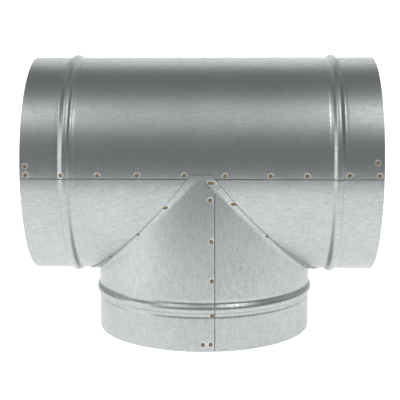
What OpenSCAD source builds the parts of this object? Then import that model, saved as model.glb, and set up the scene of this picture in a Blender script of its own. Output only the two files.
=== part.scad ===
// Equal duct tee of galvanised sheet steel, for round duct of 160 mm nominal size.
// A run tube of two lapped half shells carries a branch collar with a flared saddle lip.
// The sheets are joined by spot welds, each seen as a shallow dimple in the outer sheet.
// The origin is the centre of the branch's open rim, +X is along the run and -Y is the front.

/* [Run] */
// Outside diameter of the run at its two open ends
run_od = 159; // [145:0.5:161]
// Length of the run from rim to rim
run_length = 250; // [246:1:500]
// Depth below the run's centre line of the top shell's edge, which shows as the seam
seam_drop = 1.2; // [0.5:0.1:4]
// Width of the lap, which the bottom shell tucks up behind the top shell
run_lap_w = 14; // [8:0.5:20]

/* [Branch] */
// Height of the run's centre line above the branch's open rim
branch_reach = 124; // [122:1:220]
// Width of the collar's own lap, measured round its wall
collar_lap_w = 14; // [10:0.5:20]
// Distance round the wall from the middle of the front to the outer sheet's edge
collar_lap_edge = 9; // [7:0.5:12]
// Width of the ledge that the run's opening leaves inside the collar
opening_ledge = 1.6; // [1:0.1:4]

/* [Saddle lip] */
// Width of the lip's flat tip at the front and at the back
tip_w = 15; // [10:0.5:24]
// Height of that tip above the run's centre line
tip_rise = 1.4; // [0.5:0.1:4]
// Reach of the lip past the collar's wall at the two sides
lip_reach = 5.6; // [4:0.1:6]
// Radius of the hollow curve that the lip's outer edge follows in the front view
lip_edge_r = 410; // [300:5:1000]

/* [Beads] */
// Distance of each bead's crest from its rim
bead_from_rim = 30.5; // [20:0.5:31]
// Height of the bead above the wall
bead_h = 2; // [1.5:0.1:2.5]
// Distance between the middles of the two curves at the bead's foot
bead_w = 10; // [9:0.5:11]
// Radius of the rounded crest
bead_crest_r = 3.8; // [3:0.1:4]
// Depth by which the foot of the bead is drawn in below the wall
bead_draw_in = 0.3; // [0.2:0.1:0.5]

/* [Sheet] */
// Thickness of the sheet
sheet_t = 0.6; // [0.4:0.1:0.8]
// Clearance left between lapped sheets
lap_gap = 0.1; // [0.05:0.05:0.3]

/* [Spot welds] */
// Diameter of the dimple at each weld
weld_d = 4; // [2:0.5:5]
// Depth of the dimple
weld_depth = 0.15; // [0.05:0.05:0.2]
// Places of the welds along each seam between the run's beads, from the middle
seam_welds = [-71, -44, -13, 16, 47, 72];
// Distance from each rim of the weld nearest to it
rim_weld_in = 4; // [3:0.5:8]
// Distance from a bead's crest of the weld beside its foot
bead_weld_out = 6.8; // [6.5:0.1:9]
// Height of the seam's welds above the edge of the top shell
seam_weld_up = 2.4; // [2:0.1:4]
// Heights above its rim of the other welds in the collar's lap
collar_welds = [51, 79, 108];
// Distance of those welds from the edge of that lap
collar_weld_in = 2.6; // [2.5:0.1:4]
// Angles round the collar, from its front or back, of the welds in the left half of the lip
lip_welds_left = [17, 33, 53];
// The same for the right half
lip_welds_right = [15, 34, 62];
// Distance of those welds from the line where the collar meets the run
lip_weld_out = 2.6; // [2:0.1:3.5]

/* [Hidden] */
$fn = 144;

run_r = run_od / 2;
collar_r = run_r + lap_gap + sheet_t;
lap_step = sheet_t + lap_gap;
edge_gap = 0.3;
overshoot = 1;
steel = "silver";

deg_per_run_mm = 360 / (2 * PI * run_r);
seam_angle = seam_drop * deg_per_run_mm;
run_step_from = seam_angle + edge_gap * deg_per_run_mm;
run_step_to = run_step_from + sheet_t * deg_per_run_mm;
run_lap_to = (run_lap_w - seam_drop) * deg_per_run_mm;

deg_per_collar_mm = 360 / (2 * PI * collar_r);
collar_edge_angle = collar_lap_edge * deg_per_collar_mm;
collar_step_from = collar_edge_angle + edge_gap * deg_per_collar_mm;
collar_step_to = collar_step_from + sheet_t * deg_per_collar_mm;
collar_step_mid = (collar_step_from + collar_step_to) / 2;
collar_lap_to = (collar_lap_edge - collar_lap_w) * deg_per_collar_mm;
ledge_drop = opening_ledge * sqrt(2);

bead_rise = bead_h + bead_draw_in;
foot_r = (bead_w * bead_w / 4 + bead_rise * bead_rise) / (2 * bead_rise) - bead_crest_r;

tip_corner = [tip_w / 2, tip_rise];
side_corner = [collar_r + lip_reach - overshoot, -0.97 * collar_r];
weld_ball_r = (weld_d * weld_d / 4 + weld_depth * weld_depth) / (2 * weld_depth);

// Centre of the circle of radius r through a and b, on the left of the way from a to b
function arc_centre(a, b, r) =
    let (half = norm(b - a) / 2, along = (b - a) / norm(b - a))
    (a + b) / 2 + sqrt(r * r - half * half) * [-along.y, along.x];

// Area inside a beaded wall whose surface is moved out by rise
module inside_wall(wall_r, length, beads, rise) {
    difference() {
        union() {
            square([wall_r + rise, length]);
            for (at = beads)
                bead_hump(wall_r, at, rise);
        }
        for (at = beads, side = [-1, 1])
            translate([wall_r + foot_r - bead_draw_in, at + side * bead_w / 2])
                circle(r = foot_r - rise);
    }
}

// Crest of a bead and the area between it and the wall
module bead_hump(wall_r, at, rise) {
    foot_x = wall_r + foot_r - bead_draw_in;
    crest_x = wall_r + bead_h - bead_crest_r;
    polygon([
        [crest_x - bead_w, at - bead_w / 2],
        [foot_x, at - bead_w / 2],
        [crest_x, at],
        [foot_x, at + bead_w / 2],
        [crest_x - bead_w, at + bead_w / 2]
    ]);
    translate([crest_x, at])
        circle(r = bead_crest_r + rise);
}

// Section of a beaded sheet whose faces lie at low and high from the nominal wall
module sheet_section(wall_r, length, beads, low, high) {
    difference() {
        inside_wall(wall_r, length, beads, high);
        translate([0, -overshoot])
            inside_wall(wall_r, length + 2 * overshoot, [for (at = beads) at + overshoot], low);
    }
}

// Part of the run tube between two angles, from the front over the top to the back
module run_arc(from, to, low, high) {
    translate([run_length / 2, 0, branch_reach])
        rotate([90, 0, -90])
            rotate_extrude(angle = to - from, start = from)
                sheet_section(
                    run_r, run_length,
                    [bead_from_rim, run_length - bead_from_rim], low, high
                );
}

// Part of the collar's wall between two angles, from the front towards the right
module collar_arc(from, to, low, high, height) {
    rotate([0, 0, -90])
        rotate_extrude(angle = to - from, start = from)
            sheet_section(collar_r, height, [bead_from_rim], low, high);
}

// Solid bar of radius r along the run's centre line
module run_bar(r, length) {
    translate([0, 0, branch_reach])
        rotate([0, 90, 0])
            cylinder(r = r, h = length, center = true);
}

// Lens whose lower side presses one dimple into a surface at z = 0
module weld_lens() {
    intersection() {
        translate([0, 0, weld_ball_r - weld_depth])
            sphere(r = weld_ball_r);
        cylinder(r = weld_d / 2 + edge_gap, h = 2 * overshoot, center = true);
    }
}

// Lens on a surface of radius r round the run, angle below the front
module run_weld(x, angle, r) {
    translate([x, 0, branch_reach])
        rotate([90 + angle, 0, 0])
            translate([0, 0, r])
                weld_lens();
}

// Lenses for one seam of the run, one of them on the crest of the left bead
module seam_weld_lenses() {
    angle = -(seam_weld_up - seam_drop) * deg_per_run_mm;
    rim_x = run_length / 2;
    for (x = seam_welds)
        run_weld(x, angle, run_r);
    for (x = [rim_weld_in - rim_x, rim_x - bead_from_rim + bead_weld_out, rim_x - rim_weld_in])
        run_weld(x, angle, run_r);
    run_weld(bead_from_rim - rim_x, angle, run_r + bead_h);
}

// Lenses for the collar's own lap
module collar_weld_lenses() {
    angle = (collar_lap_edge - collar_weld_in) * deg_per_collar_mm;
    for (z = concat(collar_welds, [rim_weld_in, bead_from_rim - bead_weld_out]))
        translate([0, 0, z])
            rotate([90, 0, angle])
                translate([0, 0, collar_r])
                    weld_lens();
}

// Lenses for one quarter of the lip, on its outer face beside the line where the tubes meet
module lip_weld_lenses(angles) {
    for (a = angles) {
        spread = lip_weld_out / sqrt(1 + cos(a) * cos(a));
        run_weld(
            collar_r * sin(a) + spread,
            a - spread * cos(a) * deg_per_collar_mm,
            collar_r
        );
    }
}

// Area below the mitre line of the two tubes in the front view, about the run's centre line
module below_mitre() {
    reach = collar_r + lip_reach + lap_step;
    polygon([
        [0, 0],
        [reach, -reach],
        [reach, -branch_reach - overshoot],
        [-reach, -branch_reach - overshoot],
        [-reach, -reach]
    ]);
}

// Outline of the saddle lip in the front view, from the mitre line to its hollow outer edges
module lip_outline() {
    reach = collar_r + lip_reach;
    difference() {
        translate([-reach, -reach])
            square([2 * reach, reach + tip_rise]);
        below_mitre();
        for (side = [0, 1])
            mirror([side, 0])
                translate(arc_centre(tip_corner, side_corner, lip_edge_r))
                    circle(r = lip_edge_r, $fn = 4 * $fn);
    }
}

// Prism along Y on an outline in the front view
module front_prism() {
    depth = 2 * (collar_r + lip_reach);
    translate([0, depth / 2, branch_reach])
        rotate([90, 0, 0])
            linear_extrude(depth)
                children();
}

// Sector of a disc between two angles, from the front towards the right
module sector(from, to) {
    rotate([0, 0, -90])
        rotate_extrude(angle = to - from, start = from)
            square([2 * collar_r, branch_reach + run_r]);
}

// Part of the collar's wall between two angles, cut off at a drop below the mitre line
module collar_wall(from, to, low, high, drop) {
    intersection() {
        collar_arc(from, to, low, high, branch_reach);
        translate([0, 0, -drop])
            front_prism()
                below_mitre();
    }
}

// Flared lip of the collar, which lies on the run from the mitre line outwards
module saddle_lip() {
    intersection() {
        difference() {
            run_bar(collar_r, run_length);
            run_bar(collar_r - sheet_t, run_length + overshoot);
        }
        front_prism()
            lip_outline();
        sector(collar_step_mid, 360 + collar_edge_angle);
    }
}

module run_top_shell() {
    color(steel)
        difference() {
            run_arc(-seam_angle, 180 + seam_angle, -sheet_t, 0);
            seam_weld_lenses();
            mirror([0, 1, 0])
                seam_weld_lenses();
        }
}

module run_bottom_shell() {
    color(steel)
        difference() {
            run_arc(180 - run_lap_to, 360 + run_lap_to, -sheet_t - lap_step, 0);
            run_arc(180 + run_step_to, 360 - run_step_to, -sheet_t - lap_step - overshoot, -sheet_t);
            for (side = [0, 1])
                mirror([0, side, 0])
                    run_arc(-run_step_from, run_lap_to + overshoot, -lap_step, overshoot);
            translate([0, 0, -ledge_drop])
                front_prism()
                    below_mitre();
        }
}

module branch_collar() {
    inset = sheet_t + lap_step;
    lap_drop = ledge_drop + edge_gap;
    color(steel)
        difference() {
            union() {
                collar_wall(collar_step_mid, 360 + collar_edge_angle, -sheet_t, 0, 0);
                saddle_lip();
                collar_wall(collar_step_from, collar_step_to, -inset, 0, lap_drop);
                collar_wall(collar_lap_to, collar_step_mid, -inset, -lap_step, lap_drop);
            }
            collar_weld_lenses();
            for (back = [0, 1])
                mirror([0, back, 0]) {
                    lip_weld_lenses(lip_welds_right);
                    mirror([1, 0, 0])
                        lip_weld_lenses(lip_welds_left);
                }
        }
}

run_top_shell();
run_bottom_shell();
branch_collar();
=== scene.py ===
import math

import bmesh
import bpy
import numpy as np
from mathutils import Matrix, Vector


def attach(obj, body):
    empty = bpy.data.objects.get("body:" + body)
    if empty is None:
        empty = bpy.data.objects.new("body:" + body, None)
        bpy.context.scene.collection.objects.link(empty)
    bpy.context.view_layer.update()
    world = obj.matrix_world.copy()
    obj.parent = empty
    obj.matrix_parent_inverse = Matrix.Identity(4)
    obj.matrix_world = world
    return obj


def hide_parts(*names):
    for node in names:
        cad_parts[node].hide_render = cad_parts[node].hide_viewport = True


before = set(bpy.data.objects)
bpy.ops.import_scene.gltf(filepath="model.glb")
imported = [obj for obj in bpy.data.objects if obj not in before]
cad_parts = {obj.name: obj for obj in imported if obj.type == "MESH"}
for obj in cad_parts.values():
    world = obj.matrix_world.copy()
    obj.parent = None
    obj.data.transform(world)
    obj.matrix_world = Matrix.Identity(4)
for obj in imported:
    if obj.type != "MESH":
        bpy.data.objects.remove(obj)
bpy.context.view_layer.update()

# Sizes in millimetres, as in the part's source
RUN_R = 79.5
RUN_L = 250.0
REACH = 124.0
SHEET = 0.6
STEP = 0.7
COLLAR_R = RUN_R + STEP
BEAD_IN = 30.5
BEAD_SPAN = 7
BEAD_CREST_R = 3.8
BEAD_CREST_CENTRE = -1.8
BEAD_CREST_END = 2.885
BEAD_FOOT_R = 2.785
BEAD_FOOT_CENTRE = 2.485
BEAD_FOOT_FROM_CREST = 5.0
BEAD_FOOT_END = 6.257
SEAM_DROP = 1.2
LAP_W = 14.0
TIP_W = 15.0
TIP_RISE = 1.4
LIP_REACH = 5.6
LIP_EDGE_R = 410.0
TIP_FAN = 2.2
LIP_SEARCH = 14.0
LIP_WELD_OUT = 2.6
SIDE_BEND = 0.9
FLANK_BEND = 4.0
OPENING_LEDGE = 1.6
EDGE_GAP = 0.3
COLLAR_LAP_EDGE = 9.0
COLLAR_WELD_HEIGHTS = (51, 79, 108)
WELD_R = 2.0
WELD_DEPTH = 0.15


def deg_of(length, radius):
    return math.degrees(length / radius)


def lines(low, high, step, windows=()):
    """Grid lines from low to high, closer together in each window (low, high, step)."""
    count = max(1, round((high - low) / step))
    out = [low + (high - low) * i / count for i in range(count + 1)]
    for a, b, s in windows:
        a, b = max(a, low), min(b, high)
        if a >= b:
            continue
        n = max(1, round((b - a) / s))
        out = [v for v in out if v < a - s * 0.4 or v > b + s * 0.4]
        out += [a + (b - a) * i / n for i in range(n + 1)]
    out = sorted(out + [low, high])
    kept = [out[0]]
    for v in out[1:]:
        if v - kept[-1] > 1e-4:
            kept.append(v)
    return np.array(kept)


def bead(s):
    """Height of the wall's outside at a distance s from the crest of a bead."""
    s = np.asarray(s, float)
    a = np.abs(s)
    from_foot = a - BEAD_FOOT_FROM_CREST
    crest = BEAD_CREST_CENTRE + np.sqrt(np.maximum(BEAD_CREST_R**2 - a**2, 1e-9))
    foot = BEAD_FOOT_CENTRE - np.sqrt(np.maximum(BEAD_FOOT_R**2 - from_foot**2, 1e-9))
    return np.where(a < BEAD_CREST_END, crest, np.where(a < BEAD_FOOT_END, foot, 0.0))


def bead_smooth(s):
    """The same with the sharp corner at its foot eased over 0.8 mm."""
    k = np.linspace(-0.4, 0.4, 5)
    return sum(bead(np.asarray(s) + d) for d in k) / len(k)


def wall_point(s_list):
    """Height and unit normal (along, out) of a beaded wall for distances from its beads."""
    eps = 0.02
    h = sum(bead_smooth(s) for s in s_list)
    slope = sum((bead_smooth(s + eps) - bead_smooth(s - eps)) / (2 * eps) for s in s_list)
    k = np.sqrt(1 + slope**2)
    return h, -slope / k, 1 / k


def dimples(u, v, welds):
    """Depth of the weld dimples at flat places u, v."""
    depth = np.zeros(np.broadcast(u, v).shape)
    for wu, wv in welds:
        d = np.hypot(u - wu, v - wv) / WELD_R
        depth += WELD_DEPTH * np.clip(1 - d**2, 0, None) - 0.05 * np.exp(-(((d - 1.2) / 0.2) ** 2))
    return depth


def sheet_object(name, points, flat, keep=None, flip=False, cut=None, thickness=SHEET):
    """Closed sheet from a grid of points on its outside, with its flat places kept."""
    rows, cols = points.shape[:2]
    verts = (points.reshape(-1, 3) * 0.001).tolist()
    faces = []
    for i in range(rows - 1):
        for j in range(cols - 1):
            if keep is not None and not keep[i, j]:
                continue
            a, b = i * cols + j, i * cols + j + 1
            c, d = (i + 1) * cols + j + 1, (i + 1) * cols + j
            faces.append((a, d, c, b) if flip else (a, b, c, d))
    mesh = bpy.data.meshes.new(name)
    mesh.from_pydata(verts, [], faces)
    layer = mesh.attributes.new("flat", "FLOAT_VECTOR", "POINT")
    data = np.zeros((rows * cols, 3))
    data[:, :2] = flat.reshape(-1, 2)
    layer.data.foreach_set("vector", data.ravel())
    if cut is not None or keep is not None:
        bm = bmesh.new()
        bm.from_mesh(mesh)
        if cut is not None:
            cut(bm)
        loose = [v for v in bm.verts if not v.link_faces]
        bmesh.ops.delete(bm, geom=loose, context="VERTS")
        bm.to_mesh(mesh)
        bm.free()
    obj = bpy.data.objects.new(name, mesh)
    bpy.context.scene.collection.objects.link(obj)
    solid = obj.modifiers.new("sheet", "SOLIDIFY")
    solid.thickness = thickness * 0.001
    solid.offset = -1.0
    solid.use_even_offset = True
    solid.thickness_clamp = 0.0
    deps = bpy.context.evaluated_depsgraph_get()
    done = bpy.data.meshes.new_from_object(obj.evaluated_get(deps))
    obj.modifiers.clear()
    obj.data = done
    bpy.data.meshes.remove(mesh)
    done.name = name
    done.shade_smooth()
    done.set_sharp_from_angle(angle=math.radians(34))
    return obj


# Welds, as flat places in millimetres

SEAM_X = [-120.8, -96.4, -71.5, -44.0, -11.6, 16.4, 47.5, 72.5, 101.3, 121.6]
SEAM_WELDS = [(x, -SEAM_DROP + 2.2 + 0.25 * math.sin(3 * x)) for x in SEAM_X]
EXTRA_WELDS = [(-121.2, 7.0), (120.3, 9.9)]
HALF_TURN = math.pi * RUN_R
FRONT_WELDS = SEAM_WELDS + EXTRA_WELDS
BACK_WELDS = [(-x, HALF_TURN - s) for x, s in SEAM_WELDS]


# The run's two half shells

def run_points(angles, xs, offset, welds):
    """Outside of a half shell: rows are angles from the front over the top, columns run along X."""
    h, n_x, n_r = wall_point([xs + RUN_L / 2 - BEAD_IN, xs - RUN_L / 2 + BEAD_IN])
    th = np.radians(angles)[:, None]
    flat = np.zeros((len(angles), len(xs), 2))
    flat[..., 0] = xs[None, :]
    flat[..., 1] = RUN_R * th
    off = offset(angles)[:, None] - dimples(flat[..., 0], flat[..., 1], welds)
    r = RUN_R + h[None, :] + off * n_r[None, :]
    x = xs[None, :] + off * n_x[None, :]
    pts = np.zeros(flat.shape[:2] + (3,))
    pts[..., 0] = x
    pts[..., 1] = -r * np.cos(th)
    pts[..., 2] = REACH + r * np.sin(th)
    return pts, flat


def run_lines(welds):
    windows = [(-RUN_L / 2 + BEAD_IN - BEAD_SPAN, -RUN_L / 2 + BEAD_IN + BEAD_SPAN, 0.45)]
    windows += [(RUN_L / 2 - BEAD_IN - BEAD_SPAN, RUN_L / 2 - BEAD_IN + BEAD_SPAN, 0.45)]
    spots = sorted({round(x, 1) for x, s in welds})
    windows += [(x - 2.6, x + 2.6, 0.6) for x in spots if abs(abs(x) - RUN_L / 2 + BEAD_IN) > BEAD_SPAN]
    return lines(-RUN_L / 2, RUN_L / 2, 4.5, windows)


seam_a = deg_of(SEAM_DROP, RUN_R)
seam_up = deg_of(4.2, RUN_R)
top_angles = lines(
    -seam_a, 180 + seam_a, 1.25,
    [(-seam_a, seam_up, 0.36), (180 - seam_up, 180 + seam_a, 0.36),
     (deg_of(5, RUN_R), deg_of(12, RUN_R), 0.36)],
)
pts, flat = run_points(
    top_angles, run_lines(FRONT_WELDS + BACK_WELDS), lambda a: np.zeros(len(a)),
    FRONT_WELDS + BACK_WELDS,
)
top = sheet_object("run_top_sheet", pts, flat)

step_from = seam_a + deg_of(EDGE_GAP, RUN_R)
step_to = step_from + deg_of(SHEET, RUN_R)
lap_to = deg_of(LAP_W - SEAM_DROP, RUN_R)


def bottom_offset(a):
    """How far the bottom shell stands behind the top shell's outside at an angle."""
    up = np.minimum(np.abs(a - 180), np.abs(a - 360))
    below = np.where((a > 180) & (a < 360), up, -up)
    t = np.clip((step_to - below) / (step_to - step_from), 0, 1)
    return -STEP * t * t * (3 - 2 * t)


def saddle_hole(bm):
    """Cuts the saddle-shaped opening along the two mitre planes, inside the collar."""
    apex = Vector((0, 0, (REACH - OPENING_LEDGE * math.sqrt(2)) * 0.001))
    for side in (1, -1):
        bmesh.ops.bisect_plane(
            bm, geom=bm.verts[:] + bm.edges[:] + bm.faces[:], dist=1e-7,
            plane_co=apex, plane_no=Vector((side, 0, 1)).normalized(),
        )
    gone = []
    for f in bm.faces:
        c = f.calc_center_median() - apex
        if c.z < -abs(c.x):
            gone.append(f)
    bmesh.ops.delete(bm, geom=gone, context="FACES")


bottom_angles = lines(
    180 - lap_to, 360 + lap_to, 1.25,
    [(180 + step_from - 0.3, 180 + step_to + 0.3, 0.08),
     (360 - step_to - 0.3, 360 - step_from + 0.3, 0.08)],
)
pts, flat = run_points(bottom_angles, run_lines([]), bottom_offset, [])
bottom = sheet_object("run_bottom_sheet", pts, flat, cut=saddle_hole)


# The collar

def lip_edge_z(x):
    """Height of the lip's hollow outer edge in the front view, about the run's centre line."""
    a = np.array([TIP_W / 2, TIP_RISE])
    b = np.array([COLLAR_R + LIP_REACH - 1.0, -0.97 * COLLAR_R])
    half = np.linalg.norm(b - a) / 2
    along = (b - a) / np.linalg.norm(b - a)
    centre = (a + b) / 2 + math.sqrt(LIP_EDGE_R**2 - half**2) * np.array([-along[1], along[0]])
    return centre[1] - np.sqrt(LIP_EDGE_R**2 - (x - centre[0]) ** 2)


def lip_width(phi):
    """Direction and width of the lip on the run's unrolled surface at an angle phi (radians)."""
    q = np.abs((phi + np.pi / 2) % np.pi - np.pi / 2)
    fan = np.clip(np.degrees(q) / TIP_FAN, 0, 1)
    normal = np.arctan2(1.0, np.cos(q))
    turn = fan * normal
    d_x, d_u = np.sin(turn), -np.cos(turn)
    t = np.linspace(0, LIP_SEARCH, 1401)[None, :]
    x = COLLAR_R * np.sin(q)[:, None] + t * d_x[:, None]
    u = COLLAR_R * q[:, None] + t * d_u[:, None]
    z = -COLLAR_R * np.sin(u / COLLAR_R)
    inside = (z <= TIP_RISE) & (x <= COLLAR_R + LIP_REACH)
    inside &= (x <= TIP_W / 2) | (z <= lip_edge_z(np.maximum(x, TIP_W / 2)))
    width = t[0, np.argmin(inside, axis=1)]
    return d_x, d_u, np.where(inside.all(axis=1), LIP_SEARCH, width)


def bend_size(phi):
    """How far the lip's bend spreads down the wall."""
    flank = np.sin(2 * phi) ** 2 * np.clip(np.cos(phi) ** 2 * 1.6, 0, 1)
    return SIDE_BEND + (FLANK_BEND - SIDE_BEND) * flank


LAP_EDGE = deg_of(COLLAR_LAP_EDGE, COLLAR_R)
LAP_STEP_FROM = LAP_EDGE + deg_of(EDGE_GAP, COLLAR_R)
LAP_STEP_TO = LAP_STEP_FROM + deg_of(SHEET, COLLAR_R)
LAP_TO = deg_of(COLLAR_LAP_EDGE - LAP_W, COLLAR_R)
LEFT_WELDS = [17, 33, 53]
RIGHT_WELDS = [15, 34, 62]
lip_weld_angles = []
for group, sign in ((RIGHT_WELDS, 1), (LEFT_WELDS, -1)):
    lip_weld_angles += [(sign * a) % 360 for a in group] + [(180 - sign * a) % 360 for a in group]

windows = [(LAP_TO, 10.5, 0.36), (LAP_STEP_FROM - 0.1, LAP_STEP_TO + 0.1, 0.1)]
windows += [(a - 1.6, a + 1.6, 0.5) for a in lip_weld_angles]
windows += [(352.0, 360 + LAP_EDGE, 0.4)]
phi_deg = lines(LAP_TO, 360 + LAP_EDGE, 1.25, windows)
phi_deg = np.unique(np.round(np.append(phi_deg, [LAP_STEP_FROM, LAP_STEP_TO]), 4))
phi = np.radians(phi_deg)
inner = phi_deg < LAP_STEP_TO - 1e-3
t = np.clip((LAP_STEP_TO - phi_deg) / (LAP_STEP_TO - LAP_STEP_FROM), 0, 1)
collar_off = -STEP * t * t * (3 - 2 * t)

mitre_z = REACH - COLLAR_R * np.abs(np.sin(phi))
bend = bend_size(phi)
wall_top = np.where(inner, mitre_z - 2.56, mitre_z - bend)

z_spigot = lines(0, BEAD_IN - BEAD_SPAN, 2.4, [(1.6, 6.8, 0.6)])
z_bead = lines(BEAD_IN - BEAD_SPAN, BEAD_IN + BEAD_SPAN, 0.45)
front_top = REACH - COLLAR_R * math.sin(math.radians(4.5)) - 1.0
spots = [(z - BEAD_IN - BEAD_SPAN) / (front_top - BEAD_IN - BEAD_SPAN) for z in COLLAR_WELD_HEIGHTS]
spread = 2.7 / (front_top - BEAD_IN - BEAD_SPAN)
share = lines(0, 1, 0.045, [(s - spread, s + spread, spread / 4.5) for s in spots])
z_rows = [np.full_like(phi, z) for z in z_spigot] + [np.full_like(phi, z) for z in z_bead[1:]]
above_bead = np.minimum(BEAD_IN + BEAD_SPAN, wall_top - 0.3)
z_rows += [above_bead + s * (wall_top - above_bead) for s in share[1:]]
z_wall = np.array(z_rows)
n_wall = len(z_wall)

LAP_WELD_PLACES = (
    (0.8, 5.3), (4.7, 5.4), (5.5, 26.2), (5.3, 51.0), (5.0, 79.0), (4.4, 108.0), (4.0, 120.4),
)
LAP_WELDS = [(math.radians(angle) * COLLAR_R, z) for angle, z in LAP_WELD_PLACES]
turn_mm = 2 * math.pi * COLLAR_R
outer_welds = [(u + turn_mm, z) for u, z in LAP_WELDS]

u_grid = np.broadcast_to(phi * COLLAR_R, z_wall.shape)
h, n_z, n_r = wall_point([z_wall - BEAD_IN])
off = collar_off[None, :] - dimples(u_grid, z_wall, outer_welds)
r = COLLAR_R + h + off * n_r
wall = np.zeros(z_wall.shape + (3,))
wall[..., 0] = r * np.sin(phi)
wall[..., 1] = -r * np.cos(phi)
wall[..., 2] = z_wall + off * n_z
wall_flat = np.dstack([u_grid, z_wall])

d_x, d_u, width = lip_width(phi)
quarter = np.abs((phi + np.pi / 2) % np.pi - np.pi / 2)
side_x = np.where(np.sin(phi) >= 0, 1.0, -1.0)
side_y = np.where(np.cos(phi) >= 0, -1.0, 1.0)


def lip_at(dist):
    """Places on the lip's outside at a distance from the mitre line, one for each column."""
    x = COLLAR_R * np.sin(quarter) + dist * d_x
    u = (COLLAR_R * quarter + dist * d_u) / COLLAR_R
    return np.stack([side_x * x, side_y * COLLAR_R * np.cos(u), REACH - COLLAR_R * np.sin(u)], -1)


lip_bend = np.minimum(0.45 * width, SIDE_BEND)
start = np.stack([COLLAR_R * np.sin(phi), -COLLAR_R * np.cos(phi), wall_top], -1)
corner = lip_at(np.zeros_like(phi))
end = lip_at(lip_bend)
bend_rows, bend_flat = [], []
for k in range(1, 9):
    t = k / 8
    bend_rows.append((1 - t) ** 2 * start + 2 * t * (1 - t) * corner + t * t * end)
    bend_flat.append(np.stack([phi * COLLAR_R, wall_top + t * (bend + lip_bend)], -1))
lip_rows, lip_flat = [], []
for k in range(1, 9):
    dist = lip_bend + (width - lip_bend) * k / 8
    lip_rows.append(lip_at(dist))
    lip_flat.append(np.stack([phi * COLLAR_R, wall_top + bend + dist], -1))

lip_pts = np.array(lip_rows)
lip_spots = []
for a in lip_weld_angles:
    q = math.radians(a)
    qq = abs((q + math.pi / 2) % math.pi - math.pi / 2)
    k = 1 / math.sqrt(1 + math.cos(qq) ** 2)
    x = COLLAR_R * math.sin(qq) + LIP_WELD_OUT * k
    u = qq - LIP_WELD_OUT * k * math.cos(qq) / COLLAR_R
    sx = 1 if math.sin(q) >= 0 else -1
    sy = -1 if math.cos(q) >= 0 else 1
    lip_spots.append((sx * x, sy * COLLAR_R * math.cos(u), REACH - COLLAR_R * math.sin(u)))
for s in lip_spots:
    d = np.linalg.norm(lip_pts - np.array(s), axis=-1) / WELD_R
    depth = WELD_DEPTH * np.clip(1 - d**2, 0, None)
    normal = lip_pts - np.array([0, 0, REACH])
    normal[..., 0] = 0
    normal /= np.linalg.norm(normal, axis=-1)[..., None]
    lip_pts -= depth[..., None] * normal

points = np.concatenate([wall, np.array(bend_rows), lip_pts])
flat = np.concatenate([wall_flat, np.array(bend_flat), np.array(lip_flat)])
keep = np.ones((points.shape[0] - 1, points.shape[1] - 1), bool)
keep[n_wall - 1:, :] = ~(inner[:-1] | inner[1:])[None, :]
collar = sheet_object("branch_collar_sheet", points, flat, keep=keep)


# Materials

ZINC_DARK = (0.25, 0.27, 0.275, 1)
ZINC_LIGHT = (0.68, 0.70, 0.70, 1)
WELD_HALO = (0.80, 0.80, 0.77, 1)
WELD_SCORCH = (0.055, 0.05, 0.04, 1)
WELD_HEART = (0.42, 0.27, 0.08, 1)


class Nodes:
    """Small helper that adds and links shader nodes."""

    def __init__(self, name):
        self.mat = bpy.data.materials.new(name)
        self.mat.use_nodes = True
        self.tree = self.mat.node_tree
        self.tree.nodes.clear()

    def add(self, kind, **values):
        node = self.tree.nodes.new(kind)
        for key, value in values.items():
            if key.startswith("in_"):
                name = key[3:]
                socket = node.inputs[int(name)] if name.isdigit() else node.inputs[name]
                if isinstance(value, bpy.types.NodeSocket):
                    self.tree.links.new(value, socket)
                else:
                    socket.default_value = value
            else:
                setattr(node, key, value)
        return node

    def math(self, op, a, b=0.0, clamp=False):
        return self.add("ShaderNodeMath", operation=op, use_clamp=clamp, in_0=a, in_1=b).outputs[0]

    def noise(self, vector, scale, detail=3.0, rough=0.5):
        node = self.add("ShaderNodeTexNoise", in_Vector=vector, in_Scale=scale, in_Detail=detail,
                        in_Roughness=rough)
        return node.outputs["Fac"]

    def stretch(self, vector, x, y, z=1.0):
        return self.add("ShaderNodeVectorMath", operation="MULTIPLY", in_0=vector,
                        in_1=(x, y, z)).outputs[0]

    def between(self, value, a, b, c, d):
        return self.add("ShaderNodeMapRange", clamp=True, in_0=value, in_1=a, in_2=b, in_3=c,
                        in_4=d).outputs[0]

    def mix(self, fac, a, b):
        node = self.add("ShaderNodeMix", data_type="RGBA")
        for socket, value in ((node.inputs[0], fac), (node.inputs[6], a), (node.inputs[7], b)):
            if isinstance(value, bpy.types.NodeSocket):
                self.tree.links.new(value, socket)
            else:
                socket.default_value = value
        return node.outputs[2]


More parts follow.
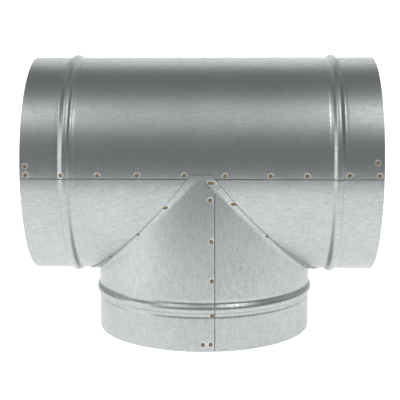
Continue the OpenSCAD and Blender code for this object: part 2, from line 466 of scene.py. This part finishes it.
def galvanised(name, along_x, welds, seed):
    """Galvanised sheet with rolling streaks along one flat direction and burnt weld marks."""
    n = Nodes(name)
    flat = n.add("ShaderNodeAttribute", attribute_name="flat").outputs["Vector"]
    moved = n.add("ShaderNodeVectorMath", operation="ADD", in_0=flat,
                  in_1=(seed * 37.0, seed * 53.0, seed)).outputs[0]
    long, short = (0.085, 0.9), (0.9, 0.085)
    sx, sy = long if along_x else short
    streak = n.noise(n.stretch(moved, sx, sy), 1.0, 4.0, 0.6)
    fine = n.noise(n.stretch(moved, sx * 2.6, sy * 2.6), 1.0, 2.0, 0.5)
    mottle = n.noise(moved, 0.42, 3.0, 0.55)
    cloud = n.noise(moved, 0.03, 2.0, 0.5)

    tone = n.math("MULTIPLY", n.math("SUBTRACT", streak, 0.5), 0.50)
    tone = n.math("ADD", tone, n.math("MULTIPLY", n.math("SUBTRACT", fine, 0.5), 0.28))
    tone = n.math("ADD", tone, n.math("MULTIPLY", n.math("SUBTRACT", mottle, 0.5), 0.34))
    tone = n.math("ADD", tone, n.math("MULTIPLY", n.math("SUBTRACT", cloud, 0.5), 0.22))
    tone = n.math("ADD", tone, 0.5, clamp=True)
    zinc = n.mix(tone, ZINC_DARK, ZINC_LIGHT)

    rough = n.math("ADD", n.math("MULTIPLY", n.math("SUBTRACT", mottle, 0.5), -0.20), 0.37)
    rough = n.math("ADD", rough, n.math("MULTIPLY", n.math("SUBTRACT", streak, 0.5), -0.16))

    bump_h = n.math("ADD", n.math("MULTIPLY", streak, 0.6), n.math("MULTIPLY", mottle, 0.7))
    bump_h = n.math("ADD", bump_h, n.math("MULTIPLY", fine, 0.25))
    colour = zinc
    metal = 1.0
    if welds:
        shake = n.add("ShaderNodeTexNoise", in_Vector=flat, in_Scale=0.9, in_Detail=2.0)
        place = n.add("ShaderNodeVectorMath", operation="SUBTRACT", in_0=shake.outputs["Color"],
                      in_1=(0.5, 0.5, 0.5)).outputs[0]
        place = n.add("ShaderNodeVectorMath", operation="MULTIPLY", in_0=place,
                      in_1=(1.3, 1.3, 0.0)).outputs[0]
        place = n.add("ShaderNodeVectorMath", operation="ADD", in_0=flat, in_1=place).outputs[0]
        near = None
        for u, v in welds:
            d = n.add("ShaderNodeVectorMath", operation="DISTANCE", in_0=place,
                      in_1=(u, v, 0.0)).outputs["Value"]
            near = d if near is None else n.math("MINIMUM", near, d)
        spots = n.noise(flat, 1.5, 2.0)
        halo = n.between(near, 1.6, 2.7, 1.0, 0.0)
        ring = n.between(near, 1.15, 1.7, 1.0, 0.0)
        heart = n.between(near, 0.55, 1.15, 1.0, 0.0)
        heart = n.math("MULTIPLY", heart, n.between(spots, 0.36, 0.52, 0.25, 1.0))
        colour = n.mix(n.math("MULTIPLY", halo, 0.75), colour, WELD_HALO)
        colour = n.mix(ring, colour, WELD_SCORCH)
        colour = n.mix(heart, colour, WELD_HEART)
        rough = n.math("ADD", rough, n.math("MULTIPLY", halo, 0.14))
        metal = n.between(near, 1.2, 2.0, 0.35, 1.0)
        bump_h = n.math("SUBTRACT", bump_h, n.math("MULTIPLY", ring, 6.0))
        bump_h = n.math("ADD", bump_h, n.math("MULTIPLY", heart, 5.0))
    bump = n.add("ShaderNodeBump", in_Strength=1.0, in_Distance=0.00003, in_Height=bump_h)
    shader = n.add("ShaderNodeBsdfPrincipled", in_Roughness=rough, in_Normal=bump.outputs[0])
    n.tree.links.new(colour, shader.inputs["Base Color"])
    if isinstance(metal, float):
        shader.inputs["Metallic"].default_value = metal
    else:
        n.tree.links.new(metal, shader.inputs["Metallic"])
    out = n.add("ShaderNodeOutputMaterial")
    n.tree.links.new(shader.outputs[0], out.inputs["Surface"])
    return n.mat


def lip_weld_flat():
    """Flat places of the lip's welds, from the nearest point of the lip's grid."""
    out = []
    rows_flat = np.array(lip_flat)
    for s in lip_spots:
        d = np.linalg.norm(lip_pts - np.array(s), axis=-1)
        i, j = np.unravel_index(np.argmin(d), d.shape)
        out.append(tuple(rows_flat[i, j]))
    return out


top.data.materials.append(galvanised("zinc_top", True, FRONT_WELDS + BACK_WELDS, 1.0))
bottom.data.materials.append(galvanised("zinc_bottom", True, [], 2.0))
collar.data.materials.append(galvanised("zinc_collar", False, outer_welds + lip_weld_flat(), 3.0))

for piece, node in ((top, "run_top_shell"), (bottom, "run_bottom_shell"), (collar, "branch_collar")):
    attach(piece, "root")
    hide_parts(node)


# Stage, lights and camera

def sweep():
    """Pale floor that curves up into a pale back wall, with a painted glow (emission) that is brightest
    round the object.
    """
    front, back, bend_r, high, half = -0.52, 1.7, 0.6, 2.2, 2.2
    line = [(front, 0.0), (back - bend_r, 0.0)]
    for k in range(1, 17):
        a = math.pi / 2 * k / 16
        line.append((back - bend_r + bend_r * math.sin(a), bend_r - bend_r * math.cos(a)))
    line.append((back, high))
    verts = [(x, y, z) for y, z in line for x in (-half, half)]
    faces = [(2 * i, 2 * i + 1, 2 * i + 3, 2 * i + 2) for i in range(len(line) - 1)]
    mesh = bpy.data.meshes.new("studio_floor")
    mesh.from_pydata(verts, [], faces)
    mesh.shade_smooth()
    obj = bpy.data.objects.new("studio_floor", mesh)
    bpy.context.scene.collection.objects.link(obj)
    n = Nodes("floor_paper_painted_glow")
    place = n.add("ShaderNodeTexCoord").outputs["Object"]
    axes = n.add("ShaderNodeSeparateXYZ", in_0=place)
    side = n.math("ABSOLUTE", axes.outputs[0])
    # Painted light: the floor emits light, strongest within FLOOR_HALF of the centre, a painted pool of
    # light round the object
    painted_glow = n.between(side, FLOOR_HALF, FLOOR_HALF + 0.35, FLOOR_GLOW, FLOOR_DIM)
    shader = n.add("ShaderNodeBsdfPrincipled", in_Roughness=0.9)
    shader.inputs["Base Color"].default_value = (0.85, 0.85, 0.85, 1)
    shader.inputs["Specular IOR Level"].default_value = 0.0
    shader.inputs["Emission Color"].default_value = (1, 1, 1, 1)
    n.tree.links.new(painted_glow, shader.inputs["Emission Strength"])
    out = n.add("ShaderNodeOutputMaterial")
    n.tree.links.new(shader.outputs[0], out.inputs["Surface"])
    mesh.materials.append(n.mat)


# Strengths of the floor's painted glow near the object and towards its sides
FLOOR_HALF, FLOOR_GLOW, FLOOR_DIM = 0.55, 0.85, 0.2
sweep()


def soft_box(name, place, target, width, height, power, colour=(1, 1, 1)):
    light = bpy.data.lights.new(name, "AREA")
    light.shape = "RECTANGLE"
    light.size, light.size_y = width, height
    light.energy = power
    light.color = colour
    obj = bpy.data.objects.new(name, light)
    bpy.context.scene.collection.objects.link(obj)
    obj.location = place
    obj.rotation_mode = "QUATERNION"
    obj.rotation_quaternion = (Vector(target) - Vector(place)).to_track_quat("-Z", "Y")
    return obj


soft_box("over_front", (0.0, -0.85, 1.45), (0, 0, 0.12), 2.0, 0.9, 2.8)
soft_box("over_left", (-0.75, -0.75, 1.35), (0, 0, 0.12), 0.5, 0.5, 2.2)
soft_box("over_right", (0.70, -0.70, 1.35), (0, 0, 0.12), 0.5, 0.5, 3.4)
soft_box("left_side", (-1.03, -0.38, 0.32), (0, 0, 0.1), 0.7, 0.7, 2.5)

world = bpy.data.worlds.new("studio")
bpy.context.scene.world = world
world.use_nodes = True
world.node_tree.nodes["Background"].inputs["Color"].default_value = (0.21, 0.22, 0.22, 1)
world.node_tree.nodes["Background"].inputs["Strength"].default_value = 1.0

pan, tilt, roll = math.radians(1.745), math.radians(9.160), math.radians(-0.07)
look = Vector((-math.sin(pan) * math.cos(tilt), math.cos(pan) * math.cos(tilt), -math.sin(tilt)))
camera = bpy.data.cameras.new("camera")
camera.lens = 89.73
camera.sensor_width = 36.0
camera.sensor_fit = "HORIZONTAL"
camera.shift_x = 0.0023
camera.shift_y = -0.0028
camera.clip_start = 0.01
camera.clip_end = 50.0
cam = bpy.data.objects.new("camera", camera)
bpy.context.scene.collection.objects.link(cam)
cam.location = (0.01913, -0.75452, 0.09382 + 0.124)
turn = look.to_track_quat("-Z", "Y").to_matrix().to_4x4() @ Matrix.Rotation(roll, 4, "Z")
cam.rotation_mode = "QUATERNION"
cam.rotation_quaternion = turn.to_quaternion()
bpy.context.scene.camera = cam
bpy.context.scene.view_settings.view_transform = "Standard"
bpy.context.scene.view_settings.look = "None"
